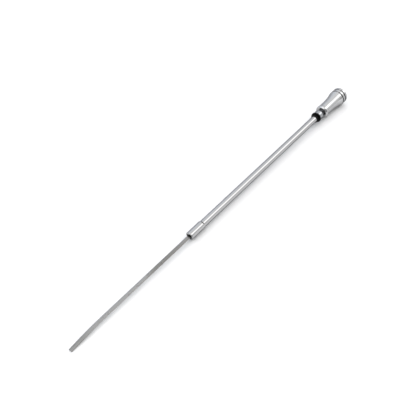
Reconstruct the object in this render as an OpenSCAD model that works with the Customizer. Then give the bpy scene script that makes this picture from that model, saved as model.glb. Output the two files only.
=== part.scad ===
// Engine oil dipstick with a turned handle, lying on a flat surface, in millimetres.
// Every piece is drawn on one stem line, local Z, from the handle's end face (0) down to the blade's tip.
// Local X faces up and local Y is sideways; laid_down() turns the whole stem onto the surface.
// The feature that takes the most skill is the turned handle: bead, waist, flare, rim and two grooves.

/* [Handle] */
// Length of the handle from its end face to its front face
handle_len = 46.5; // [44:0.5:60]
// Radius of the rim, the widest part of the handle
rim_r = 10.2; // [9.6:0.1:10.8]
// Distance from the end face to the rim's lower edge, where the flare starts
rim_end = 11.2; // [10.4:0.1:14]
// Radius at the waist, the slimmest part of the handle
waist_r = 7.7; // [7.3:0.05:8]
// Distance from the end face to the waist
waist_at = 31.5; // [28:0.5:34]
// Radius of the bead at the foot of the handle
bead_r = 8.2; // [8:0.05:8.6]
// Radius of the bead's own rounding
bead_round = 3.2; // [2.9:0.1:3.4]
// Depth of the two turned grooves
groove_depth = 0.8; // [0.3:0.05:1]
// Width of the two turned grooves
groove_w = 1.4; // [0.8:0.1:1.6]
// Distance from the end face to the outer groove
outer_groove_at = 4.5; // [3.8:0.1:4.8]
// Distance from the end face to the inner groove
inner_groove_at = 9.5; // [8:0.1:9.6]
// Rounding of the handle's end edge
end_round = 1.2; // [0.8:0.1:1.6]
// Depth of the blind bore that takes the collar's spigot
spigot_bore_depth = 18; // [14:1:22]

/* [Seal collar] */
// Radius of the collar's polished band
collar_r = 5.75; // [5.6:0.05:6]
// Length of the collar's band
collar_len = 5.7; // [4.5:0.1:8]
// Gap between the band and the handle's front face
collar_gap = 4.6; // [3.5:0.1:5.5]
// Radius of the neck between the band and the handle
collar_neck_r = 3.6; // [3.5:0.05:4.4]
// Radius of the spigot that is pressed into the handle
spigot_r = 4.8; // [4.6:0.05:5]
// Length of the spigot inside the handle
spigot_len = 16; // [12:1:20]
// Radius of the seat under the seal ring
seat_r = 3.4; // [3.35:0.01:3.6]
// Edge break on the collar's band
collar_edge = 0.35; // [0.2:0.05:0.5]

/* [Seal ring] */
// Outer radius of the rubber ring
seal_r = 6.5; // [6.2:0.05:6.6]
// Radius of the ring's skirt, on the side towards the tip
skirt_r = 4.7; // [4.3:0.05:4.9]
// Length of the skirt in front of the ring
skirt_len = 3.1; // [1.5:0.1:4]

/* [Tube] */
// Outside radius of the stem tube
tube_r = 4; // [3.9:0.05:4.03]
// Bore radius of the stem tube
tube_bore_r = 2.5; // [2.3:0.05:2.6]
// Radius of the turned down upper end that enters the collar
tube_spigot_r = 2.9; // [2.8:0.01:3]
// Length of the turned down upper end
tube_spigot_len = 15; // [12:1:16]
// Distance from the handle's end face to the ferrule's upper end
ferrule_at = 280; // [240:0.1:340]

/* [Ferrule] */
// Outside radius of the ferrule
ferrule_r = 4.55; // [4.45:0.05:4.8]
// Length of the ferrule
ferrule_len = 19.6; // [17:0.1:26]
// Length of tube inside the ferrule
ferrule_socket = 13; // [11:0.5:14]
// Radius of the hole in the ferrule's mouth
mouth_r = 2.75; // [2.75:0.01:3]
// Rounding round the mouth
mouth_round = 0.8; // [0.5:0.1:1]
// Edge break at the ferrule's upper end
ferrule_edge = 0.3; // [0.1:0.05:0.35]

/* [Blade] */
// Width of the flat steel strip
blade_w = 3.9; // [3.6:0.05:4.3]
// Thickness of the strip
blade_t = 0.8; // [0.6:0.05:0.85]
// Distance of the strip's middle below the stem line
blade_low = 0; // [-0.2:0.05:0.6]
// Straight stretch between the ferrule's mouth and the start of the bend
bend_from_mouth = 118.4; // [80:0.1:160]
// Radius of the gentle bend near the tip
bend_r = 240; // [200:5:400]
// Angle of the bend
bend_angle = 7.75; // [4:0.25:9]
// Length of the straight stretch after the bend
tip_len = 8; // [3:0.5:12]
// Rounding of the tip's two corners
tip_round = 0.7; // [0.3:0.1:1.2]
// Distance from the tip to the low level mark
low_mark_at = 14; // [10:1:20]
// Distance between the low and the full level mark
mark_pitch = 20; // [12:1:24]
// Width of a level mark
mark_w = 0.6; // [0.4:0.1:1]
// Depth of a level mark
mark_depth = 0.15; // [0.1:0.05:0.2]

/* [Gripping plug] */
// Length of the plug's round body
plug_len = 16; // [12:1:24]
// Length of the two jaws in front of the body
jaw_len = 3; // [2:0.5:4]
// Width of the jaws
jaw_w = 0.8; // [0.6:0.1:1.2]
// Distance of the jaws' middle to the side of the stem line
jaw_side = 1.4; // [1:0.1:1.5]
// Depth of the jaws' face inside the mouth
plug_recess = 0.8; // [0.4:0.1:1.5]
// Width of the strip's tang inside the plug
tang_w = 3; // [2.4:0.1:3.2]
// Length of the strip's tang
tang_len = 10; // [6:1:11]

/* [Hidden] */
$fn = 96;

// Small overlap that lets one cut run clean through a face
cut = 1;

// Stations along the stem, from the handle's end face
collar_back = handle_len + collar_gap;
collar_front = collar_back + collar_len;
seal_end = collar_front + seal_r - seat_r;
skirt_end = seal_end + skirt_len;
seal_middle = (collar_front + seal_end) / 2;
tube_top = skirt_end - tube_spigot_len;
mouth_at = ferrule_at + ferrule_len;
bend_at = mouth_at + bend_from_mouth;
tube_end = ferrule_at + ferrule_socket;
jaw_face = mouth_at - plug_recess;
plug_face = jaw_face - jaw_len;
plug_top = plug_face - plug_len;

// Strip: heights of its faces on local X, and the place of its end after the bend
blade_top = -blade_low + blade_t / 2;
tip_x = -blade_low - bend_r * (1 - cos(bend_angle)) - tip_len * sin(bend_angle);
tip_z = bend_at + bend_r * sin(bend_angle) + tip_len * cos(bend_angle);

// The lowest corner of the tip, on the strip's under side
tip_low_x = tip_x - blade_t / 2 * cos(bend_angle);
tip_low_z = tip_z - blade_t / 2 * sin(bend_angle);

// Lying at rest: the rim's lower edge and the tip's lowest corner touch the surface
lie_tilt = atan((rim_r + tip_low_x) / (tip_low_z - rim_end));
lie_height = rim_end * sin(lie_tilt) + rim_r * cos(lie_tilt);
reach_to_tip = tip_z * cos(lie_tilt) + tip_x * sin(lie_tilt) + blade_t / 2 * sin(bend_angle + lie_tilt);
reach_past_end = (rim_r - end_round) * sin(lie_tilt);
lie_shift = (reach_to_tip - reach_past_end) / 2;

// Points of an arc, in [radius, station] with the angle measured from the radius axis
function arc(centre, r, from, to, steps = 12) =
    [for (i = [0 : steps]) let (a = from + (to - from) * i / steps)
        centre + r * [cos(a), sin(a)]];

// Flare: one arc that leaves the waist square to the stem line and reaches the rim
flare_len = waist_at - rim_end;
flare_rise = rim_r - waist_r;
flare_r = (flare_len * flare_len + flare_rise * flare_rise) / (2 * flare_rise);
flare_sweep = asin(flare_len / flare_r);

// Bead: its own circle, from the end of the neck to the front face
bead_at = handle_len - 2.8;
bead_middle_r = bead_r - bead_round;
bead_start = -30;
bead_end = asin((handle_len - bead_at) / bead_round);

// Neck: the same kind of arc as the flare, from the waist up to the bead's start
neck_len = bead_at + bead_round * sin(bead_start) - waist_at;
neck_rise = max(0.02, bead_middle_r + bead_round * cos(bead_start) - waist_r);
neck_arc_r = (neck_len * neck_len + neck_rise * neck_rise) / (2 * neck_rise);
neck_sweep = asin(neck_len / neck_arc_r);

module laid_down()
    translate([lie_shift, 0, lie_height])
        rotate([0, -90 - lie_tilt, 0])
            children();

// A round hole or rod between two stations
module rod(r, from, to)
    translate([0, 0, from])
        cylinder(r = r, h = to - from);

// A ring of square section taken out of a turned piece
module turned_groove(middle, w, bottom_r, outer_r)
    rotate_extrude()
        translate([bottom_r, middle - w / 2])
            square([outer_r - bottom_r, w]);

// A band with both edges broken at 45 degrees
module band(r, from, to, edge_from, edge_to)
    rotate_extrude()
        polygon([[0, from], [r - edge_from, from], [r, from + edge_from],
            [r, to - edge_to], [r - edge_to, to], [0, to]]);

module handle_outline()
    polygon(concat(
        [[0, 0]],
        arc([rim_r - end_round, end_round], end_round, -90, 0, 8),
        [[rim_r, rim_end]],
        arc([waist_r + flare_r, waist_at], flare_r, 180 + flare_sweep, 180, 24),
        arc([waist_r + neck_arc_r, waist_at], neck_arc_r, 180, 180 - neck_sweep, 8),
        arc([bead_middle_r, bead_at], bead_round, bead_start, bead_end, 16),
        [[0, handle_len]]));

module handle()
    color([0.80, 0.79, 0.77])
        laid_down()
            difference() {
                rotate_extrude()
                    handle_outline();
                turned_groove(outer_groove_at, groove_w, rim_r - groove_depth, rim_r + cut);
                turned_groove(inner_groove_at, groove_w, rim_r - groove_depth, rim_r + cut);
                rod(spigot_r, handle_len - spigot_bore_depth, handle_len + cut);
            }

module seal_collar()
    color([0.78, 0.80, 0.84])
        laid_down()
            difference() {
                union() {
                    rod(spigot_r, handle_len - spigot_len, handle_len);
                    rod(collar_neck_r, handle_len - cut, collar_back + cut);
                    band(collar_r, collar_back, collar_front, collar_edge, collar_edge);
                    rod(seat_r, collar_front - cut, skirt_end);
                }
                rod(tube_spigot_r, tube_top, skirt_end + cut);
            }

// The ring's section is round, with a thinner skirt that reaches the tube's shoulder
module seal_section() {
    translate([(seal_r + seat_r) / 2, seal_middle])
        circle(r = (seal_r - seat_r) / 2);
    translate([seat_r, seal_middle])
        square([skirt_r - seat_r, skirt_end - seal_middle]);
}

module seal_ring()
    color([0.04, 0.04, 0.04])
        laid_down()
            rotate_extrude()
                seal_section();

module tube()
    color([0.75, 0.77, 0.80])
        laid_down()
            difference() {
                union() {
                    rod(tube_spigot_r, tube_top, skirt_end + cut);
                    rod(tube_r, skirt_end, tube_end);
                }
                rod(tube_bore_r, tube_top - cut, tube_end + cut);
            }

module ferrule_outline()
    polygon(concat(
        [[0, ferrule_at], [ferrule_r - ferrule_edge, ferrule_at], [ferrule_r, ferrule_at + ferrule_edge]],
        arc([ferrule_r - mouth_round, mouth_at - mouth_round], mouth_round, 0, 90, 8),
        [[0, mouth_at]]));

module ferrule()
    color([0.75, 0.77, 0.80])
        laid_down()
            difference() {
                rotate_extrude()
                    ferrule_outline();
                rod(tube_r, ferrule_at - cut, tube_end);
                rod(mouth_r, ferrule_at - cut, mouth_at + cut);
            }

// A bar of the strip's thickness between two stations
module strip(w, from, to)
    translate([-blade_low - blade_t / 2, -w / 2, from])
        cube([blade_t, w, to - from]);

module blade_plug()
    color([0.45, 0.45, 0.43])
        laid_down()
            difference() {
                union() {
                    rod(tube_bore_r, plug_top, plug_face);
                    intersection() {
                        rod(tube_bore_r, plug_face - cut, jaw_face);
                        translate([-tube_r, jaw_side - jaw_w / 2, plug_face - cut])
                            cube([2 * tube_r, jaw_w, jaw_len + 2 * cut]);
                    }
                }
                strip(tang_w, plug_face - tang_len, plug_face + cut);
                strip(blade_w, plug_face, jaw_face + cut);
            }

// Point on the bend, in [height, station], at a distance from the bend's centre line
function on_bend(angle, out) =
    [-blade_low - bend_r, bend_at] + (bend_r + out) * [cos(angle), sin(angle)];

// Point past the bend, on the straight stretch up to the tip
function on_tip(along, out) =
    on_bend(bend_angle, out) + along * [-sin(bend_angle), cos(bend_angle)];

function bend_side(from, to, out) =
    arc([-blade_low - bend_r, bend_at], bend_r + out, from, to, 16);

// The strip seen from the side: straight, gently bent down, and straight again up to the tip
module blade_side()
    difference() {
        polygon(concat(
            [[blade_top, plug_face - tang_len]],
            bend_side(0, bend_angle, blade_t / 2),
            [on_tip(tip_len, blade_t / 2), on_tip(tip_len, -blade_t / 2)],
            bend_side(bend_angle, 0, -blade_t / 2),
            [[blade_top - blade_t, plug_face - tang_len]]));
        for (from_tip = [low_mark_at, low_mark_at + mark_pitch])
            level_mark(bend_angle - (from_tip - tip_len) / bend_r * 180 / PI);
    }

// A shallow stamped line across the strip's upper face
module level_mark(angle)
    translate([-blade_low - bend_r, bend_at])
        rotate(angle)
            translate([bend_r + blade_t / 2 - mark_depth, -mark_w / 2])
                square([mark_depth + cut, mark_w]);

// The strip seen from above, along the stem: narrow tang, full width, rounded corners at the tip
module blade_plan() {
    translate([plug_face - tang_len - cut, -tang_w / 2])
        square([tang_len + 2 * cut, tang_w]);
    translate([plug_face, -blade_w / 2])
        square([tip_z - tip_round - plug_face, blade_w]);
    translate([plug_face, -blade_w / 2 + tip_round])
        square([tip_z + cut - plug_face, blade_w - 2 * tip_round]);
    for (side = [-1, 1])
        translate([tip_z - tip_round, side * (blade_w / 2 - tip_round)])
            circle(r = tip_round, $fn = 32);
}

module blade()
    color([0.55, 0.55, 0.53])
        laid_down()
            intersection() {
                rotate([90, 0, 0])
                    linear_extrude(height = 2 * blade_w, center = true)
                        blade_side();
                rotate([0, -90, 0])
                    linear_extrude(height = 4 * rim_r, center = true)
                        blade_plan();
            }

handle();
seal_collar();
seal_ring();
tube();
ferrule();
blade_plug();
blade();
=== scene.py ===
# %% [markdown]
# # An engine oil dipstick, dressed for the studio
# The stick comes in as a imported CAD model: a turned aluminium handle, a bright collar with a rubber ring, a
# chromed stem tube, a ferrule, a gripping plug and a flat steel strip. This lesson leaves every size alone
# and adds what the eye wants: finely rounded edges, real finishes, a pale floor, soft light and the
# photograph's camera. The same few helpers turn every round piece, so the first cells are the ones to read
# slowly.

# %% The frame
import math

import bmesh
import bpy
from mathutils import Matrix, Vector


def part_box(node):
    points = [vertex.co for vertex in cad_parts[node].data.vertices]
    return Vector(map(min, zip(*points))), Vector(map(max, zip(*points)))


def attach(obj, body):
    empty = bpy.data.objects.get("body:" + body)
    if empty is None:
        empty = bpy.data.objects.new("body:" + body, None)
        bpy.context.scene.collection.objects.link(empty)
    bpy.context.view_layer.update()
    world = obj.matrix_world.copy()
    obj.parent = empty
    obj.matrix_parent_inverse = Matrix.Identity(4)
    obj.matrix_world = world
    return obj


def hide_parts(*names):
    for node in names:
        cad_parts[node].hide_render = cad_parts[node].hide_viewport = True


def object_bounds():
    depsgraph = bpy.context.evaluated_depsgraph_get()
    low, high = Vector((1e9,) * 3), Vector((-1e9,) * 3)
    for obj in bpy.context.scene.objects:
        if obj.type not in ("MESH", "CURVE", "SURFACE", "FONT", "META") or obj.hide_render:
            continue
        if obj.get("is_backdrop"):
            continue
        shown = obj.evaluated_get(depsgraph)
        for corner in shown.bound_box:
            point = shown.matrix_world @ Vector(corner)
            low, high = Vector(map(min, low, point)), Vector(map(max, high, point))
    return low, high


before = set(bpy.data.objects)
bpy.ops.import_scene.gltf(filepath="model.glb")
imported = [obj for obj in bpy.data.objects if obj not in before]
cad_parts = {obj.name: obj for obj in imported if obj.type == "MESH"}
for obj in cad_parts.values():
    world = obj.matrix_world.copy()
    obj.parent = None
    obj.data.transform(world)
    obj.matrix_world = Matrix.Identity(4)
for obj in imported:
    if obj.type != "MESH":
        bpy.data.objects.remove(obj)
cad_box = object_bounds()
MM = 0.001
for name in sorted(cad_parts):
    low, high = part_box(name)
    print(name, "from", [round(v / MM, 1) for v in low], "to", [round(v / MM, 1) for v in high], "mm")

# %% [markdown]
# ## The stem line
# Every piece of a dipstick is threaded on one line, so all sizes here are read as a station: the distance
# from the handle's end face towards the tip, in millimetres. On the floor that line leans a little, because
# the handle's rim is thicker than the strip's tip. The lean could be typed in, but reading it off the
# packed tube keeps the new pieces exactly where the CAD put them: the middles of the tube's two ends give
# the line.

# %% Reading the stem line off the tube
TUBE_TOP = 48.0
RIM_BAND = 0.3


def end_middle(points, from_end):
    reach = max(from_end * p.x for p in points)
    rim = [p for p in points if from_end * p.x > reach - RIM_BAND * MM]
    low = Vector([min(p[i] for p in rim) for i in range(3)])
    high = Vector([max(p[i] for p in rim) for i in range(3)])
    return (low + high) / 2


tube_points = [v.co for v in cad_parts["tube"].data.vertices]
upper_middle = end_middle(tube_points, 1)
lower_middle = end_middle(tube_points, -1)
towards_tip = (lower_middle - upper_middle).normalized()
sideways = Vector((0, 1, 0))
upwards = sideways.cross(towards_tip)
end_face_middle = upper_middle - towards_tip * TUBE_TOP * MM
stem_place = Matrix((
    (upwards.x, sideways.x, towards_tip.x, end_face_middle.x),
    (upwards.y, sideways.y, towards_tip.y, end_face_middle.y),
    (upwards.z, sideways.z, towards_tip.z, end_face_middle.z),
    (0, 0, 0, 1),
))
stem_turn = stem_place.to_3x3()
to_stem = stem_place.inverted()
print("the stem leans", round(math.degrees(math.asin(-towards_tip.z)), 3), "degrees")
print("the end face's middle is at", [round(v / MM, 2) for v in end_face_middle], "mm")

# %% [markdown]
# ## Helpers for outlines
# A lathe cuts one outline. Here an outline is a list of corners, each a station, a radius and how much the
# edge is rounded. Real edges are never razor sharp: a small rounding is what catches the light, so each
# corner becomes a short curve that leaves one side and meets the other without a kink. Bevelling the
# finished mesh would do it too, but a curve in the outline is exact and costs only a few points.

# %% Rounding the corners of an outline
ARC_STEPS = 6
STRAIGHT_ENOUGH = 0.01


def rounded_corner(before, corner, after, rounding):
    corner = Vector(corner)
    back = (Vector(before) - corner).normalized()
    ahead = (Vector(after) - corner).normalized()
    turn = math.pi - back.angle(ahead)
    if rounding == 0 or turn < STRAIGHT_ENOUGH:
        return [corner]
    run = rounding * math.tan(turn / 2)
    run = min(run, (Vector(before) - corner).length / 2, (Vector(after) - corner).length / 2)
    start = corner + back * run
    finish = corner + ahead * run
    points = []
    for i in range(ARC_STEPS + 1):
        share = i / ARC_STEPS
        near = start.lerp(corner, share)
        far = corner.lerp(finish, share)
        points.append(near.lerp(far, share))
    return points


def rounded_outline(corners):
    points = []
    for i, (station, radius, rounding) in enumerate(corners):
        before = corners[i - 1][:2]
        after = corners[(i + 1) % len(corners)][:2]
        points += rounded_corner(before, (station, radius), after, rounding)
    return points


print("a rounded corner is drawn with", ARC_STEPS + 1, "points")

# %% [markdown]
# ## Round stretches
# The bead, the flare and the rubber ring are true arcs, so they get a helper of their own: a middle, a
# radius and two angles. Zero degrees points towards the tip and 90 degrees away from the stem. A smooth
# curve through a few chosen points would also pass for the flare, but an arc is how the turner's drawing
# would give it.

# %% Drawing an arc in an outline
def arc_points(middle_station, middle_radius, arc_radius, start, finish, steps):
    points = []
    for i in range(steps + 1):
        angle = math.radians(start + (finish - start) * i / steps)
        station = middle_station + arc_radius * math.cos(angle)
        radius = middle_radius + arc_radius * math.sin(angle)
        points.append((station, radius, 0))
    return points


print("a quarter arc of radius 1 ends at", [round(v, 3) for v in arc_points(0, 0, 1, 0, 90, 4)[-1][:2]])

# %% [markdown]
# ## A small lathe
# The lathe spins an outline round the stem line. Blender's Screw modifier does this as well, but bright
# metal shows every flaw in its shading, so this helper also gives each point the direction it faces, worked
# out from the outline itself. Long sides then stay perfectly flat in the reflections and the roundings stay
# smooth. The points are placed on the leaning stem line at once, so a finished piece needs no turning of
# its own.

# %% Turning an outline into a piece
TURN_STEPS = 160


def outline_facing(points):
    facing = []
    for i, point in enumerate(points):
        behind = point - points[i - 1]
        ahead = points[(i + 1) % len(points)] - point
        across = Vector((-behind.y - ahead.y, behind.x + ahead.x))
        facing.append(across.normalized() if across.length > 0 else Vector((0, 1)))
    return facing


def turned_faces(points):
    count = len(points)
    faces = []
    for step in range(TURN_STEPS):
        here = step * count
        there = (step + 1) % TURN_STEPS * count
        for i in range(count):
            j = (i + 1) % count
            if points[i].y > 0 or points[j].y > 0:
                faces.append((here + i, there + i, there + j, here + j))
    return faces


def new_piece(name, mesh):
    piece = bpy.data.objects.new(name, mesh)
    bpy.context.scene.collection.objects.link(piece)
    print(name, "has", len(mesh.vertices), "points and", len(mesh.polygons), "faces")
    return piece


def turned_piece(name, corners):
    points = rounded_outline(corners)
    facing = outline_facing(points)
    vertices = []
    directions = []
    for step in range(TURN_STEPS):
        angle = 2 * math.pi * step / TURN_STEPS
        height = math.cos(angle)
        side = math.sin(angle)
        for point, faces in zip(points, facing):
            vertices.append(stem_place @ (Vector((point.y * height, point.y * side, point.x)) * MM))
            directions.append(stem_turn @ Vector((faces.y * height, faces.y * side, faces.x)))
    mesh = bpy.data.meshes.new(name)
    mesh.from_pydata(vertices, [], turned_faces(points))
    mesh.shade_smooth()
    mesh.normals_split_custom_set_from_vertices(directions)
    return new_piece(name, mesh)


print("one turn of the lathe is", TURN_STEPS, "steps of", 360 / TURN_STEPS, "degrees")

# %% [markdown]
# ## Handing a piece over
# A new piece takes the place of a packed one. It gets its finish, the packed node it replaces is hidden, and
# it rides on the same body, so that the dressed stick moves as the packed one does. Doing this in one helper
# means no step is forgotten for one of the pieces.

# %% Putting a piece in a imported node's place
def put_in_place(piece, node, finish):
    piece.data.materials.append(finish)
    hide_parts(node)
    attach(piece, "root")


# %% [markdown]
# ## Starting a finish
# Every finish here starts from the same shader, given a colour, whether it is metal, and a roughness.
# Metals also get a number for their edges: real plating that has been handled doesn't flare up to white
# where it is seen at a grazing angle, and a number below one holds that back. The shader could be built
# from single nodes, but one that knows metal and rubber alike keeps every finish short.

# %% A new finish
def grey(level):
    return (level, level, level)


def new_finish(name, colour, metal, roughness, edge=1.0):
    finish = bpy.data.materials.new(name)
    finish.use_nodes = True
    shader = finish.node_tree.nodes["Principled BSDF"]
    shader.inputs["Base Color"].default_value = (*colour, 1)
    shader.inputs["Metallic"].default_value = metal
    shader.inputs["Roughness"].default_value = roughness
    shader.inputs["Specular Tint"].default_value = (*grey(edge), 1)
    return finish, finish.node_tree, shader


def described(finish):
    print(finish.name, "is a network of", len(finish.node_tree.nodes), "nodes")
    return finish


print("middle grey is", grey(0.5))

# %% [markdown]
# ## Reading a place on the stick
# A dipstick's colour changes along the stem: painted shade sits at a step and below a radius, and the strip
# darkens over stretches. A picture wrapped round the piece could hold all that, but these helpers read a
# point's station, side and radius in the stem's own millimetres instead. The pattern then stays on the piece
# when seen from behind, and it moves with the sizes.

# %% Station, side and radius of a point
def stem_coordinates(tree):
    place = tree.nodes.new("ShaderNodeTexCoord")
    back = tree.nodes.new("ShaderNodeMapping")
    back.inputs["Location"].default_value = to_stem.to_translation() / MM
    back.inputs["Rotation"].default_value = to_stem.to_euler()
    back.inputs["Scale"].default_value = (1 / MM, 1 / MM, 1 / MM)
    tree.links.new(place.outputs["Object"], back.inputs["Vector"])
    return back.outputs["Vector"]


def stem_parts(tree):
    parts = tree.nodes.new("ShaderNodeSeparateXYZ")
    tree.links.new(stem_coordinates(tree), parts.inputs["Vector"])
    return parts.outputs


def station_of(tree):
    return stem_parts(tree)["Z"]


def side_of(tree):
    return stem_parts(tree)["Y"]


def radius_of(tree):
    parts = stem_parts(tree)
    flat = tree.nodes.new("ShaderNodeCombineXYZ")
    tree.links.new(parts["X"], flat.inputs["X"])
    tree.links.new(parts["Y"], flat.inputs["Y"])
    radius = tree.nodes.new("ShaderNodeVectorMath")
    radius.operation = "LENGTH"
    tree.links.new(flat.outputs["Vector"], radius.inputs[0])
    return radius.outputs["Value"]


print("the middle of the stick's footprint is at station", round((to_stem @ Vector()).z / MM, 2), "mm")

# %% [markdown]
# ## Shares and tones
# A finish mostly asks how much of something is here, from 0 to 1. The helper squeezed turns a number into
# such a share over a soft step, within does it for a band with two soft ends, and both multiplies two
# shares. The colour helpers blend two tones by a share, or dim what is there already. Ramps with many stops
# would do the same in one node, but they are hard to read back as millimetres.

# %% Squeezing, blending and dimming
def squeezed(tree, value, from_low, from_high, to_low, to_high):
    band = tree.nodes.new("ShaderNodeMapRange")
    band.interpolation_type = "SMOOTHSTEP"
    band.inputs["From Min"].default_value = from_low
    band.inputs["From Max"].default_value = from_high
    band.inputs["To Min"].default_value = to_low
    band.inputs["To Max"].default_value = to_high
    tree.links.new(value, band.inputs["Value"])
    return band.outputs["Result"]


def both(tree, first, second):
    product = tree.nodes.new("ShaderNodeMath")
    product.operation = "MULTIPLY"
    tree.links.new(first, product.inputs[0])
    tree.links.new(second, product.inputs[1])
    return product.outputs["Value"]


def within(tree, value, low, high, soft):
    past_low = squeezed(tree, value, low - soft, low, 0.0, 1.0)
    before_high = squeezed(tree, value, high, high + soft, 1.0, 0.0)
    return both(tree, past_low, before_high)


def blended(tree, share, first, second):
    mix = tree.nodes.new("ShaderNodeMix")
    mix.data_type = "RGBA"
    mix.inputs[6].default_value = (*first, 1)
    mix.inputs[7].default_value = (*second, 1)
    tree.links.new(share, mix.inputs[0])
    return mix.outputs[2]


def dimmed(tree, share, colour, factor):
    mix = tree.nodes.new("ShaderNodeMix")
    mix.data_type = "RGBA"
    mix.blend_type = "MULTIPLY"
    mix.inputs[7].default_value = (*factor, 1)
    tree.links.new(share, mix.inputs[0])
    tree.links.new(colour, mix.inputs[6])
    return mix.outputs[2]


print("made the helpers squeezed, both, within, blended and dimmed")

# %% [markdown]
# ## Noise and relief
# Nothing on a used tool is perfectly even. One noise does for all of it: stretched along the stem it is
# drawing streaks, stretched round the stem it is turning rings, and unstretched it is dust. Its stretch is
# how often it changes in a millimetre, up, sideways and along. The same noise, read as a height, gives a
# relief of about a hundredth of a millimetre, which is far cheaper than modelling it.

# %% Stretching a noise and raising it
NOISE_ROUGHNESS = 0.55


def stretched_noise(tree, stretch, detail):
    spread = tree.nodes.new("ShaderNodeMapping")
    spread.inputs["Scale"].default_value = stretch
    noise = tree.nodes.new("ShaderNodeTexNoise")
    noise.inputs["Scale"].default_value = 1.0
    noise.inputs["Detail"].default_value = detail
    noise.inputs["Roughness"].default_value = NOISE_ROUGHNESS
    tree.links.new(stem_coordinates(tree), spread.inputs["Vector"])
    tree.links.new(spread.outputs["Vector"], noise.inputs["Vector"])
    return noise.outputs["Fac"]


def tone_share(tree, noise, low=0.3, high=0.7):
    return squeezed(tree, noise, low, high, 0.0, 1.0)


def relief(tree, shader, height, depth, strength):
    bump = tree.nodes.new("ShaderNodeBump")
    bump.inputs["Strength"].default_value = strength
    bump.inputs["Distance"].default_value = depth
    tree.links.new(height, bump.inputs["Height"])
    tree.links.new(bump.outputs["Normal"], shader.inputs["Normal"])


print("every noise has a roughness of", NOISE_ROUGHNESS)

# %% [markdown]
# ## Turned aluminium
# The handle is turned from bar and polished, so the tool has left fine rings round it and the polish has
# left broad soft patches. The rings are a noise that changes quickly along the stem and not at all round
# it, far finer than a pixel of the photograph: what shows is a silky highlight drawn out along the handle.
# The grooves carry painted shade: each is darkened by its station where it crosses that highlight and on its
# right, and the darkening fades out to the left by the side. The face that meets the guide tube is a little
# darkened, also painted shade.

# %% The handle's finish
ALUMINIUM = (0.47, 0.47, 0.473)
ALUMINIUM_DARK = tuple(0.95 * c for c in ALUMINIUM)
HANDLE_LEN = 46.5
GROOVES_AT = (4.5, 9.5)
GROOVE_W = 1.4
GROOVE_SHADE_SPREAD = 0.15
GROOVE_SHADE_FULL_SIDE = -3.5
GROOVE_SHADE_GONE_SIDE = -0.5
GROOVE_SHADE_TONE = 0.12
FACE_SHADE_FROM = HANDLE_LEN - 0.3
FACE_SHADE_FULL = HANDLE_LEN - 0.05
FACE_SHADE_TONE = (0.85, 0.84, 0.83)
RINGS = (0, 0, 9)
PATCHES = (0.09, 0.09, 0.06)
POLISH = (0.09, 0.15)


def turned_aluminium():
    finish, tree, shader = new_finish("turned_aluminium", ALUMINIUM, metal=1.0, roughness=0.12, edge=0.35)
    rings = stretched_noise(tree, RINGS, detail=2.0)
    patches = stretched_noise(tree, PATCHES, detail=3.0)
    metal = blended(tree, tone_share(tree, patches), ALUMINIUM_DARK, ALUMINIUM)
    station = station_of(tree)
    # painted shade in the grooves: full on the right side, fading out to the left
    on_right = squeezed(tree, side_of(tree), GROOVE_SHADE_FULL_SIDE, GROOVE_SHADE_GONE_SIDE, 1.0, 0.0)
    reach = GROOVE_W / 2 + GROOVE_SHADE_SPREAD
    for middle in GROOVES_AT:
        in_groove = within(tree, station, middle - reach, middle + reach, GROOVE_SHADE_SPREAD)
        metal = dimmed(tree, both(tree, in_groove, on_right), metal, grey(GROOVE_SHADE_TONE))
    # painted shade: the face next to the collar is darkened a little
    face_shade = squeezed(tree, station, FACE_SHADE_FROM, FACE_SHADE_FULL, 0.0, 1.0)
    polish = squeezed(tree, patches, 0.25, 0.75, *POLISH)
    tree.links.new(dimmed(tree, face_shade, metal, FACE_SHADE_TONE), shader.inputs["Base Color"])
    tree.links.new(polish, shader.inputs["Roughness"])
    relief(tree, shader, rings, depth=0.004 * MM, strength=0.35)
    return described(finish)


handle_finish = turned_aluminium()

# %% [markdown]
# ## The handle
# The handle is the piece that took the turner's time: a rounded end, two square grooves, a rim, a long
# concave flare down to the waist and a bead that stops on the guide tube. It could be sculpted, but it is a
# lathe part, so one outline gives it all. The flare and the short neck behind the bead are both arcs that
# leave the waist level with the stem, so one helper draws them. Every groove edge gets a small rounding.

# %% Curves and grooves of the handle
RIM_R = 10.2
RIM_END = 11.2
WAIST_R = 7.7
WAIST_AT = 31.5
GROOVE_DEPTH = 0.8
GROOVE_LIP = 0.15
GROOVE_FOOT = 0.2
FLARE_STEPS = 24


def hollow_curve(wide_station, wide_radius, steps):
    run = abs(WAIST_AT - wide_station)
    rise = wide_radius - WAIST_R
    curve_radius = (run * run + rise * rise) / (2 * rise)
    sweep = math.degrees(math.asin(run / curve_radius))
    side = 1 if wide_station > WAIST_AT else -1
    return arc_points(WAIST_AT, WAIST_R + curve_radius, curve_radius, -90, -90 + side * sweep, steps)


def groove_corners(middle):
    low = middle - GROOVE_W / 2
    high = middle + GROOVE_W / 2
    floor_r = RIM_R - GROOVE_DEPTH
    return [
        (low, RIM_R, GROOVE_LIP),
        (low, floor_r, GROOVE_FOOT),
        (high, floor_r, GROOVE_FOOT),
        (high, RIM_R, GROOVE_LIP),
    ]


flare = hollow_curve(RIM_END, RIM_R, FLARE_STEPS)[::-1]
print("the flare runs from station", round(flare[0][0], 2), "to", round(flare[-1][0], 2), "mm")

# %% [markdown]
# ## Turning the handle
# The outline starts at the middle of the end face, goes over the rim and the grooves, down the flare, up
# the bead and back through the blind bore that holds the collar's spigot. The bead could be a corner with a
# large rounding, but the photograph shows it as a full round, so it is an arc with its own middle. The bore
# is never seen; it is cut so that the collar has a place to sit.

# %% The handle's outline
BEAD_R = 8.2
BEAD_ROUND = 3.2
BEAD_INSET = 2.8
BEAD_START = 120
END_ROUND = 1.2
BORE_EDGE = 0.1
SPIGOT_R = 4.8
SPIGOT_BORE_DEPTH = 18
NECK_STEPS = 8
BEAD_STEPS = 16

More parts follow.
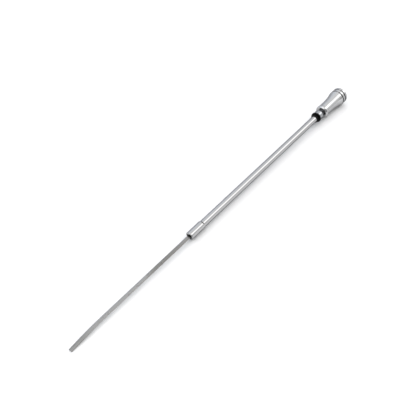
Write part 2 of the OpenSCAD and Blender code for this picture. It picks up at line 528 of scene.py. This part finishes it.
bead_at = HANDLE_LEN - BEAD_INSET
bead_middle_r = BEAD_R - BEAD_ROUND
bead_finish = math.degrees(math.acos(BEAD_INSET / BEAD_ROUND))
bead = arc_points(bead_at, bead_middle_r, BEAD_ROUND, BEAD_START, bead_finish, BEAD_STEPS)
bead_start_station, bead_start_r = bead[0][:2]
handle_corners = [(0, 0, 0), (0, RIM_R, END_ROUND)]
for groove_middle in GROOVES_AT:
    handle_corners += groove_corners(groove_middle)
handle_corners += [(RIM_END, RIM_R, GROOVE_LIP)]
handle_corners += flare[1:]
handle_corners += hollow_curve(bead_start_station, bead_start_r, NECK_STEPS)[1:]
handle_corners += bead[1:]
handle_corners += [
    (HANDLE_LEN, SPIGOT_R, BORE_EDGE),
    (HANDLE_LEN - SPIGOT_BORE_DEPTH, SPIGOT_R, 0),
    (HANDLE_LEN - SPIGOT_BORE_DEPTH, 0, 0),
]
handle = turned_piece("handle_turned", handle_corners)
put_in_place(handle, "handle", handle_finish)

# %% [markdown]
# ## Bright plating
# The collar, the stem tube and the ferrule are plated bright. Plating is a mirror, but never a perfect one:
# the drawn tube under it has long faint streaks and the surface waves a little. The streaks are a noise
# stretched along the stem, used for the tone and the roughness, and the waves are a slower one in the relief.
# Below a given radius, in the bores and gaps, the colour is darkened as painted shade. A short dark line of
# painted shade lies in the step where the ferrule starts; it is a band of stations and a band of sides,
# multiplied.

# %% The plated finishes
CHROME = (0.432, 0.43, 0.432)
FERRULE_AT = 280
STEP_SHADE_AT = (FERRULE_AT - 0.9, FERRULE_AT + 0.35)
STEP_SHADE_SIDES = (-2.4, 0.6)
STEP_SHADE_TONE = 0.1
RECESS_SHADE_FADE = 0.1
STREAK_PITCH = 0.7
STREAK_TONE = 0.94
WAVES = (0.12, 0.12, 0.035)


def bright_plating(name, colour, roughness, streak, shade_below, shade_tone):
    finish, tree, shader = new_finish(name, colour, metal=1.0, roughness=roughness, edge=0.12)
    streaks = stretched_noise(tree, (STREAK_PITCH, STREAK_PITCH, streak), detail=3.0)
    waves = stretched_noise(tree, WAVES, detail=1.0)
    streaky = tuple(STREAK_TONE * c for c in colour)
    bright = blended(tree, tone_share(tree, streaks, 0.35, 0.65), streaky, colour)
    # painted shade: below the given radius, in bores and gaps, the colour is darkened
    recess_shade = squeezed(tree, radius_of(tree), shade_below - RECESS_SHADE_FADE, shade_below + RECESS_SHADE_FADE, 1.0, 0.0)
    recess_shaded = dimmed(tree, recess_shade, bright, grey(shade_tone))
    # painted shade: a short dark line in the step where the ferrule starts, on one band of sides
    at_step = within(tree, station_of(tree), *STEP_SHADE_AT, soft=0.2)
    painted_step_shade = both(tree, at_step, within(tree, side_of(tree), *STEP_SHADE_SIDES, soft=0.6))
    gloss = squeezed(tree, streaks, 0.3, 0.7, 0.8 * roughness, 1.3 * roughness)
    tree.links.new(dimmed(tree, painted_step_shade, recess_shaded, grey(STEP_SHADE_TONE)), shader.inputs["Base Color"])
    tree.links.new(gloss, shader.inputs["Roughness"])
    relief(tree, shader, waves, depth=0.02 * MM, strength=0.3)
    return described(finish)


print("the grime in the ferrule's step lies from station", STEP_SHADE_AT[0], "to", STEP_SHADE_AT[1], "mm")

# %% [markdown]
# ## The collar
# The collar joins everything: its spigot is pressed into the handle, the stem tube is pressed into its own
# bore, and the rubber ring sits in a seat in front of its polished band. Between the band and the handle it
# narrows to a neck, and the gap round the neck is the dark ring with a light spot at each side of it in the
# photograph. Most of the collar is hidden, yet it is turned whole, because a gap at a wrong radius would show
# at once. Its plating is a trace cooler than the stem's, and below the band's radius, on the neck and the
# spigot, its colour is darkened as painted shade.

# %% Turning the collar
COLLAR_PLATE = (0.373, 0.379, 0.391)
COLLAR_GAP = 4.6
COLLAR_LEN = 5.7
COLLAR_R = 5.75
COLLAR_NECK_R = 3.6
COLLAR_EDGE = 0.35
NECK_EDGE = 0.2
SEAT_EDGE = 0.1
SPIGOT_EDGE = 0.3
SPIGOT_LEN = 16
SEAT_R = 3.4
SEAL_R = 6.5
SKIRT_LEN = 3.1
TUBE_SPIGOT_R = 2.9

collar_back = HANDLE_LEN + COLLAR_GAP
collar_front = collar_back + COLLAR_LEN
skirt_end = collar_front + SEAL_R - SEAT_R + SKIRT_LEN
collar = turned_piece("collar_turned", [
    (HANDLE_LEN - SPIGOT_LEN, 0, 0),
    (HANDLE_LEN - SPIGOT_LEN, SPIGOT_R, SPIGOT_EDGE),
    (HANDLE_LEN, SPIGOT_R, BORE_EDGE),
    (HANDLE_LEN, COLLAR_NECK_R, NECK_EDGE),
    (collar_back, COLLAR_NECK_R, NECK_EDGE),
    (collar_back, COLLAR_R, COLLAR_EDGE),
    (collar_front, COLLAR_R, COLLAR_EDGE),
    (collar_front, SEAT_R, SEAT_EDGE),
    (skirt_end, SEAT_R, 0),
    (skirt_end, TUBE_SPIGOT_R, 0),
    (TUBE_TOP, TUBE_SPIGOT_R, 0),
    (TUBE_TOP, 0, 0),
])
collar_finish = bright_plating(
    "collar_plating",
    COLLAR_PLATE,
    roughness=0.06,
    streak=0.06,
    shade_below=SPIGOT_R + 2 * RECESS_SHADE_FADE,
    shade_tone=0.6,
)
put_in_place(collar, "seal_collar", collar_finish)

# %% [markdown]
# ## Black rubber
# The seal is moulded from black rubber, and almost no light comes back from it but one soft highlight. Its
# own colour is close to nothing, with a little dust in the tone and in the roughness. A plain black would
# look like a hole, so a fine grain in the relief breaks up the highlight's edge.

# %% The ring's finish
RUBBER = 0.002
RUBBER_BARE = 0.001
RUBBER_DUSTY = 0.004
GRAIN = (2.5, 2.5, 2.5)
DUST = (0.5, 0.5, 0.5)
DUSTY_ROUGHNESS = (0.2, 0.4)


def black_rubber():
    finish, tree, shader = new_finish("black_rubber", grey(RUBBER), metal=0.0, roughness=0.25)
    shader.inputs["Specular IOR Level"].default_value = 0.06
    grain = stretched_noise(tree, GRAIN, detail=3.0)
    dust = stretched_noise(tree, DUST, detail=4.0)
    dusty = blended(tree, tone_share(tree, dust, 0.55, 0.8), grey(RUBBER_BARE), grey(RUBBER_DUSTY))
    dull = squeezed(tree, dust, 0.3, 0.8, *DUSTY_ROUGHNESS)
    tree.links.new(dusty, shader.inputs["Base Color"])
    tree.links.new(dull, shader.inputs["Roughness"])
    relief(tree, shader, grain, depth=0.01 * MM, strength=0.25)
    return described(finish)


ring_finish = black_rubber()

# %% [markdown]
# ## The rubber ring
# A round ring squeezes into the guide tube, and in front of it a short skirt hugs the stem up to the tube's
# shoulder. A torus and a sleeve would make the shape as well, but the real seal is one moulding, so it is
# one outline. Where the two halves of its mould met, a hair-fine line runs round the outside; the outline
# makes it by staying a few hundredths of a millimetre lower elsewhere, so the ring keeps the CAD radius.

# %% Moulding the ring
SKIRT_R = 4.7
SKIRT_EDGE = 0.3
MOULD_LINE = 0.04
MOULD_LINE_HALF = 0.15
RING_START = 270
RING_STEPS = 44

section_r = (SEAL_R - SEAT_R) / 2
section_middle_r = SEAT_R + section_r
ring_middle = collar_front + section_r
skirt_meets = math.degrees(math.asin((SKIRT_R - section_middle_r) / section_r))
ring_outline = []
for station, radius, rounding in arc_points(
        ring_middle, section_middle_r, section_r, RING_START, skirt_meets, RING_STEPS):
    if radius > section_middle_r and abs(station - ring_middle) > MOULD_LINE_HALF:
        radius -= MOULD_LINE
    ring_outline.append((station, radius, rounding))
ring_outline += [(skirt_end, SKIRT_R, SKIRT_EDGE), (skirt_end, SEAT_R, 0)]
seal_ring = turned_piece("seal_ring_moulded", ring_outline)
put_in_place(seal_ring, "seal_ring", ring_finish)

# %% [markdown]
# ## The stem tube
# The stem is a plain drawn tube, turned down at its upper end to enter the collar. It is the largest bright
# surface, so it gets its own smooth skin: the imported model's flats would break its one long highlight into
# strips. Its streaks are the longest on the stick, because the tube was drawn to its full length.

# %% Turning the stem tube
TUBE_R = 4.0
TUBE_BORE_R = 2.5
FERRULE_SOCKET = 13
SHOULDER_EDGE = 0.1

tube_end = FERRULE_AT + FERRULE_SOCKET
tube = turned_piece("tube_drawn", [
    (TUBE_TOP, TUBE_BORE_R, 0),
    (TUBE_TOP, TUBE_SPIGOT_R, 0),
    (skirt_end, TUBE_SPIGOT_R, 0),
    (skirt_end, TUBE_R, SHOULDER_EDGE),
    (tube_end, TUBE_R, 0),
    (tube_end, TUBE_BORE_R, 0),
])
tube_finish = bright_plating(
    "stem_plating",
    CHROME,
    roughness=0.07,
    streak=0.012,
    shade_below=TUBE_BORE_R + RECESS_SHADE_FADE,
    shade_tone=0.2,
)
put_in_place(tube, "tube", tube_finish)

# %% [markdown]
# ## The ferrule
# The ferrule is a thin sleeve pushed over the tube's lower end. Its mouth is rounded inwards, as if spun
# over, and the dark hole with the strip in it is what the eye finds first. The rounding carries the brightest
# point of the whole lower half, so it is modelled and not faked with a bump. Inside the lip the colour is
# darkened almost to black as painted shade.

# %% Turning the ferrule
FERRULE_R = 4.55
FERRULE_LEN = 19.6
FERRULE_EDGE = 0.3
FERRULE_INNER_EDGE = 0.05
MOUTH_R = 2.75
MOUTH_ROUND = 0.8
LIP_ROUND = 0.35

mouth_at = FERRULE_AT + FERRULE_LEN
ferrule = turned_piece("ferrule_turned", [
    (FERRULE_AT, TUBE_R, FERRULE_INNER_EDGE),
    (FERRULE_AT, FERRULE_R, FERRULE_EDGE),
    (mouth_at, FERRULE_R, MOUTH_ROUND),
    (mouth_at, MOUTH_R, LIP_ROUND),
    (tube_end, MOUTH_R, 0),
    (tube_end, TUBE_R, 0),
])
ferrule_finish = bright_plating(
    "ferrule_plating",
    CHROME,
    roughness=0.07,
    streak=0.04,
    shade_below=MOUTH_R + 2 * RECESS_SHADE_FADE,
    shade_tone=0.03,
)
put_in_place(ferrule, "ferrule", ferrule_finish)

# %% [markdown]
# ## The gripping plug
# Deep in the mouth two steel jaws hold the strip's root, a little to the left of the middle. They are small
# and in shadow, so the imported shape is good enough as it is. It needs the light grey of sawn steel on the
# jaws, with fine marks across them, and painted shade, near black, behind them: that contrast is what makes
# the two dark gaps with a light divider that the photograph shows.

# %% The plug's finish
PLUG_STEEL = (0.42, 0.42, 0.40)
SAWN_DARK = (0.55, 0.55, 0.54)
SAWN_LIGHT = (0.75, 0.75, 0.73)
SAW_MARKS = (3, 0.3, 0.3)
PLUG_RECESS = 0.8
JAW_LEN = 3
DEEP_SHADE_TONE = 0.03

plug_face = mouth_at - PLUG_RECESS - JAW_LEN
deep_shade_ends = (plug_face + 0.1, plug_face + 0.6)


def plain_steel():
    finish, tree, shader = new_finish("plain_steel", PLUG_STEEL, metal=1.0, roughness=0.4)
    marks = stretched_noise(tree, SAW_MARKS, detail=2.0)
    sawn = blended(tree, tone_share(tree, marks), SAWN_DARK, SAWN_LIGHT)
    # painted shade: near black behind the jaws
    deep_shade = squeezed(tree, station_of(tree), *deep_shade_ends, 1.0, 0.0)
    torn = squeezed(tree, marks, 0.3, 0.7, 0.32, 0.5)
    tree.links.new(dimmed(tree, deep_shade, sawn, grey(DEEP_SHADE_TONE)), shader.inputs["Base Color"])
    tree.links.new(torn, shader.inputs["Roughness"])
    relief(tree, shader, marks, depth=0.01 * MM, strength=0.3)
    return described(finish)


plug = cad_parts["blade_plug"]
plug.data.materials.clear()
plug.data.materials.append(plain_steel())
print("the plug keeps its packed shape,", len(plug.data.polygons), "faces")

# %% [markdown]
# ## Rolled steel
# The strip is rolled spring steel, left matt. Rolling leaves hair lines along it. The stretch below the
# ferrule and the last bit before the tip are darker, and near the mouth the root is a little lighter, a
# painted reflection of the mouth's rim. Inside the mouth the colour is darkened almost to black as painted
# shade. Each change sits at one station, so each is read off the strip's length and not painted by hand. The
# darker stretch below the ferrule is also a trace warmer.

# %% The strip's finish
STRIP_STEEL = (0.32, 0.315, 0.31)
STRIP_LINE = (0.275, 0.27, 0.262)
STRIP_BRIGHT = (0.335, 0.33, 0.322)
DARKER_STRETCH_TONE = (0.68, 0.67, 0.645)
TIP_DARKENING = (0.76, 0.76, 0.75)
DARKER_STRETCH_ENDS = (348, 368)
RIM_REFLECTION_ENDS = (302, 334)
TIP_DARKENING_ENDS = (425, 450)
MOUTH_SHADE_TONE = 0.06
HAIR_LINES = (1.2, 5, 0.025)
BLOTCHES = (0.2, 0.2, 0.09)
MATT = (0.26, 0.36)

mouth_shade_ends = (mouth_at - 0.3, mouth_at + 0.1)


def rolled_steel():
    finish, tree, shader = new_finish("rolled_steel", STRIP_STEEL, metal=1.0, roughness=0.3)
    lines = stretched_noise(tree, HAIR_LINES, detail=3.0)
    blotches = stretched_noise(tree, BLOTCHES, detail=4.0)
    station = station_of(tree)
    # darker and a trace warmer from the ferrule down to these stations
    darker_stretch = squeezed(tree, station, *DARKER_STRETCH_ENDS, 1.0, 0.0)
    # painted reflection of the mouth's rim: the darkening is halved near the mouth
    painted_rim_reflection = squeezed(tree, station, *RIM_REFLECTION_ENDS, 0.5, 1.0)
    # darker towards the tip
    at_tip = squeezed(tree, station, *TIP_DARKENING_ENDS, 0.0, 1.0)
    # painted shade: near black inside the mouth
    mouth_shade = squeezed(tree, station, *mouth_shade_ends, 1.0, 0.0)
    clean = blended(tree, tone_share(tree, lines), STRIP_LINE, STRIP_BRIGHT)
    stretch_toned = dimmed(tree, both(tree, darker_stretch, painted_rim_reflection), clean, DARKER_STRETCH_TONE)
    tip_toned = dimmed(tree, at_tip, stretch_toned, TIP_DARKENING)
    matt = squeezed(tree, blotches, 0.3, 0.75, *MATT)
    tree.links.new(dimmed(tree, mouth_shade, tip_toned, grey(MOUTH_SHADE_TONE)), shader.inputs["Base Color"])
    tree.links.new(matt, shader.inputs["Roughness"])
    relief(tree, shader, lines, depth=0.01 * MM, strength=0.3)
    return described(finish)


strip_finish = rolled_steel()

# %% [markdown]
# ## The strip's path
# The strip is flat and bends gently down near its end. It could be a cube bent by a modifier, but a path of
# stations keeps the bend where the CAD has it: straight, then an arc, then a short straight end. Along the
# path the helpers also say how wide the strip is and how deep a level line is stamped. A hair is a
# hundredth of a millimetre: it keeps two stops apart where the width jumps.

# %% Where the strip runs
BLADE_W = 3.9
TANG_W = 3.0
TANG_LEN = 10
BEND_FROM_MOUTH = 118.4
BEND_R = 240
BEND_ANGLE = math.radians(7.75)
TIP_LEN = 8
TIP_ROUND = 0.7
MARK_W = 0.6
MARK_DEPTH = 0.15
MARKS_FROM_TIP = (14, 34)
HAIR = 0.01

bend_at = mouth_at + BEND_FROM_MOUTH
bend_len = BEND_R * BEND_ANGLE
strip_len = bend_at - plug_face + bend_len + TIP_LEN


def strip_path(along):
    past_bend = plug_face + along - bend_at
    if past_bend <= 0:
        return plug_face + along, 0.0, 0.0
    angle = min(past_bend / BEND_R, BEND_ANGLE)
    straight = max(past_bend - bend_len, 0)
    station = bend_at + BEND_R * math.sin(angle) + straight * math.cos(angle)
    height = -BEND_R * (1 - math.cos(angle)) - straight * math.sin(angle)
    return station, height, angle


def mark_sink(along):
    from_tip = strip_len - along
    nearest = min(abs(from_tip - mark) for mark in MARKS_FROM_TIP)
    return MARK_DEPTH if nearest < MARK_W / 2 - HAIR else 0.0


def half_width(along):
    from_tip = strip_len - along
    if along < 0:
        return TANG_W / 2
    if from_tip >= TIP_ROUND:
        return BLADE_W / 2
    short = TIP_ROUND - from_tip
    return BLADE_W / 2 - TIP_ROUND + math.sqrt(max(TIP_ROUND ** 2 - short ** 2, 0))


print("the strip shows", round(strip_len, 1), "mm past the plug")
print("its tip drops", round(-strip_path(strip_len)[1], 2), "mm below the stem line")

# %% [markdown]
# ## Stops along the path
# The section is carried from stop to stop. Even stops alone would smear the stamped lines and the rounded
# tip over several millimetres, so each line gets four stops of its own, for its two steep walls, and the
# tip gets a few that crowd together towards its end.

# %% Choosing the stops
PATH_STEPS = 120
TIP_STEPS = 8
MARK_WALL = 0.08

chosen = {-TANG_LEN, -HAIR, 0.0, strip_len}
chosen |= {strip_len * i / PATH_STEPS for i in range(PATH_STEPS + 1)}
for i in range(TIP_STEPS + 1):
    chosen.add(strip_len - TIP_ROUND * (1 - math.cos(math.pi / 2 * i / TIP_STEPS)))
for mark in MARKS_FROM_TIP:
    for step in (-MARK_W / 2, -MARK_W / 2 + MARK_WALL, MARK_W / 2 - MARK_WALL, MARK_W / 2):
        chosen.add(strip_len - mark + step)
stops = sorted(chosen)
print("the strip is carried over", len(stops), "stops")

# %% [markdown]
# ## The strip
# A strip slit from sheet has softly rounded long edges, and those edges draw the thin light line that tells
# the eye it is steel. A bevelled cube has them too, but not past the stamped lines and round the tip. So a
# small rounded section is carried along the stops, and only edges that turn sharply are kept sharp in the
# shading.

# %% Carrying the section along the path
BLADE_T = 0.8
EDGE_ROUND = 0.14
EDGE_STEPS = 3
SHARP_ABOVE = math.radians(35)


def strip_section(half, sink):
    top = BLADE_T / 2
    points = []
    for side, level in ((1, 1), (-1, 1), (-1, -1), (1, -1)):
        for i in range(EDGE_STEPS + 1):
            angle = math.pi / 2 * i / EDGE_STEPS
            if side * level > 0:
                out, up = math.cos(angle), math.sin(angle)
            else:
                out, up = math.sin(angle), math.cos(angle)
            across = side * (half - EDGE_ROUND + EDGE_ROUND * out)
            height = level * (top - EDGE_ROUND + EDGE_ROUND * up)
            points.append((across, height - sink if level > 0 else height))
    return points


def strip_rows(shape):
    rows = []
    for along in stops:
        station, height, angle = strip_path(along)
        row = []
        for across, up in strip_section(half_width(along), mark_sink(along)):
            point = Vector((height + up * math.cos(angle), across, station + up * math.sin(angle)))
            row.append(shape.verts.new(stem_place @ (point * MM)))
        rows.append(row)
    return rows


def strip_piece(name):
    shape = bmesh.new()
    rows = strip_rows(shape)
    for first, second in zip(rows, rows[1:]):
        for i in range(len(first)):
            j = (i + 1) % len(first)
            shape.faces.new((first[i], second[i], second[j], first[j]))
    shape.faces.new(rows[0])
    shape.faces.new(rows[-1][::-1])
    bmesh.ops.recalc_face_normals(shape, faces=shape.faces)
    for edge in shape.edges:
        edge.smooth = len(edge.link_faces) == 2 and edge.calc_face_angle() < SHARP_ABOVE
    mesh = bpy.data.meshes.new(name)
    shape.to_mesh(mesh)
    shape.free()
    for face in mesh.polygons:
        face.use_smooth = True
    return new_piece(name, mesh)


blade = strip_piece("blade_rolled")
put_in_place(blade, "blade", strip_finish)

# %% [markdown]
# ## The photograph's camera
# How open the rings and the mouth look gives the camera's rise above the floor, and how quickly the stem
# gets thinner away from it gives the distance. Both come out at a steep, close view with a wide lens.
# Aiming by a point on the floor and an angle is easier to adjust than typing a matrix.

# %% Camera
IMAGE_PX = 416
FOCAL_PX = 556
SENSOR_MM = 36
CAMERA_RISE = math.radians(47)
CAMERA_HEADING = math.radians(38.876)
CAMERA_DISTANCE = 591.8 * MM
AIM = Vector((-24.03, 13.45, 0)) * MM

forward = Vector((
    math.cos(CAMERA_RISE) * math.cos(CAMERA_HEADING),
    math.cos(CAMERA_RISE) * math.sin(CAMERA_HEADING),
    -math.sin(CAMERA_RISE),
))
camera_data = bpy.data.cameras.new("studio_camera")
camera_data.sensor_width = SENSOR_MM
camera_data.lens = SENSOR_MM * FOCAL_PX / IMAGE_PX
camera = bpy.data.objects.new("studio_camera", camera_data)
camera.location = AIM - forward * CAMERA_DISTANCE
camera.rotation_euler = forward.to_track_quat("-Z", "Y").to_euler()
bpy.context.scene.collection.objects.link(camera)
bpy.context.scene.camera = camera
print("the camera stands", [round(v / MM) for v in camera.location], "mm from the middle")

# %% [markdown]
# ## The floor
# The stick lies on a seamless white sheet. The sheet is a large plane of plain paper: just light enough to
# be pure white in the open, and just dark enough for the soft shadow beside the stem to be seen. A very
# faint tooth keeps that shadow from looking like airbrush.

# %% White paper floor
PAPER = 0.84
PAPER_SPREAD = 0.005
FLOOR_M = 8


def white_paper():
    finish, tree, shader = new_finish("white_paper", grey(PAPER), metal=0.0, roughness=0.9)
    shader.inputs["Specular IOR Level"].default_value = 0.1
    tooth = stretched_noise(tree, (0.3, 0.3, 0.3), detail=2.0)
    tone = blended(tree, tone_share(tree, tooth), grey(PAPER - PAPER_SPREAD), grey(PAPER + PAPER_SPREAD))
    tree.links.new(tone, shader.inputs["Base Color"])
    relief(tree, shader, tooth, depth=0.02 * MM, strength=0.1)
    return described(finish)


bpy.ops.mesh.primitive_plane_add(size=FLOOR_M)
floor = bpy.context.object
floor.name = "white_floor"
floor.data.materials.append(white_paper())
floor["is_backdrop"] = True
print("the floor is", round(floor.dimensions.x, 1), "m across")

# %% [markdown]
# ## The room
# Bright metal shows the room and nothing else, so the light is a room and not a lamp: a pale dome that gets
# brighter towards the top, a trace bluer far to the left, and dim towards the camera's lower right. Its
# lack of light on that side gives the stem its one-sided shadow. A photographed room would light it well
# too, but a sky described by directions can be tuned one band at a time.

# %% Reading directions of the sky
world = bpy.data.worlds.new("white_room")
world.use_nodes = True
sky = world.node_tree
background = sky.nodes["Background"]
direction = sky.nodes.new("ShaderNodeTexCoord")
sky_parts = sky.nodes.new("ShaderNodeSeparateXYZ")
sky.links.new(direction.outputs["Generated"], sky_parts.inputs["Vector"])


def facing(towards):
    product = sky.nodes.new("ShaderNodeVectorMath")
    product.operation = "DOT_PRODUCT"
    product.inputs[1].default_value = Vector(towards).normalized()
    sky.links.new(direction.outputs["Generated"], product.inputs[0])
    return product.outputs["Value"]


def added(first, second):
    total = sky.nodes.new("ShaderNodeMath")
    total.operation = "ADD"
    sky.links.new(first, total.inputs[0])
    sky.links.new(second, total.inputs[1])
    return total.outputs["Value"]


print("a sky without its lights is a network of", len(sky.nodes), "nodes")

# %% [markdown]
# ## Soft boxes
# A long soft strip overhead makes the white streak from the handle to the ferrule, a low strip near the
# horizon makes the thin second line beside it, and one round soft lamp, high on the tip's side, lights the
# paper. Area lamps would do this too, but their hard edges show in chrome, so each of these is a soft band
# or spot of the sky.

# %% The strips and the lamp
STRIP_LIGHT = 1.43
STRIP_LEAN = math.radians(26)
STRIP_HALF = 0.16
STRIP_SOFT = 0.09
STRIP_STARTS = (0.0, 0.3)
LOW_STRIP = 1.0
LOW_STRIP_HEIGHTS = (-0.1, 0.13)
LOW_STRIP_SIDES = (-0.65, -0.4)
LOW_STRIP_LENGTH = (0.3, 0.48)
LAMP = 1.0
LAMP_TOWARDS = (-0.5, 0.14, 0.85)
LAMP_EDGE = math.cos(math.radians(34))
LAMP_CORE = math.cos(math.radians(12))


def strip_light():
    aside = facing((0, math.cos(STRIP_LEAN), math.sin(STRIP_LEAN)))
    across = within(sky, aside, -STRIP_HALF, STRIP_HALF, STRIP_SOFT)
    along = squeezed(sky, sky_parts.outputs["X"], *STRIP_STARTS, 0.0, STRIP_LIGHT)
    return both(sky, across, along)


def low_strip():
    across = within(sky, sky_parts.outputs["Z"], *LOW_STRIP_HEIGHTS, soft=0.12)
    on_near_side = squeezed(sky, sky_parts.outputs["Y"], *LOW_STRIP_SIDES, LOW_STRIP, 0.0)
    along = within(sky, sky_parts.outputs["X"], *LOW_STRIP_LENGTH, soft=0.17)
    return both(sky, across, both(sky, on_near_side, along))


def lamp():
    return squeezed(sky, facing(LAMP_TOWARDS), LAMP_EDGE, LAMP_CORE, 0.0, LAMP)


soft_boxes = added(added(strip_light(), low_strip()), lamp())
print("with its lights the sky is a network of", len(sky.nodes), "nodes")

# %% [markdown]
# ## The dome
# The dome is what the flanks of the stem reflect and what fills the shadow, so its two levels set the greys
# of all the metal. It could be one flat grey, but then the stem would look like a pipe in fog: the rise
# towards the top and the dim near side are what round it off.

# %% The sky's brightness and colour
ROOM_LOW = 1.01
ROOM_HIGH = 1.3
ROOM_RISE = (0.1, 0.7)
NEAR_SIDE = 0.4
NEAR_FROM = (0.5, 0.87, 0)
NEAR_FADE = (-0.65, -0.3)
COOL_FADE = (0.1, 0.7)
COOL_SKY = (0.95, 0.99, 1.06)

room = squeezed(sky, sky_parts.outputs["Z"], *ROOM_RISE, ROOM_LOW, ROOM_HIGH)
near_side = squeezed(sky, facing(NEAR_FROM), *NEAR_FADE, NEAR_SIDE, 1.0)
cool = squeezed(sky, sky_parts.outputs["Y"], *COOL_FADE, 0.0, 1.0)
brightness = added(both(sky, room, near_side), soft_boxes)
sky.links.new(blended(sky, cool, grey(1.0), COOL_SKY), background.inputs["Color"])
sky.links.new(brightness, background.inputs["Strength"])
bpy.context.scene.world = world
bpy.context.scene.view_settings.view_transform = "Standard"
print("the dome goes from", ROOM_LOW, "to", ROOM_HIGH, "and to", NEAR_SIDE, "of that on the near side")

# %% [markdown]
# ## Keeping the size honest
# The dressed pieces must fill the same box as the CAD model. Both boxes are written down side by side, so
# that any growth shows as a number.

# %% Writing the two boxes
new_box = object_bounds()
for before, after in zip(cad_box, new_box):
    print("box corner", [round(v / MM, 2) for v in before], "is now", [round(v / MM, 2) for v in after])
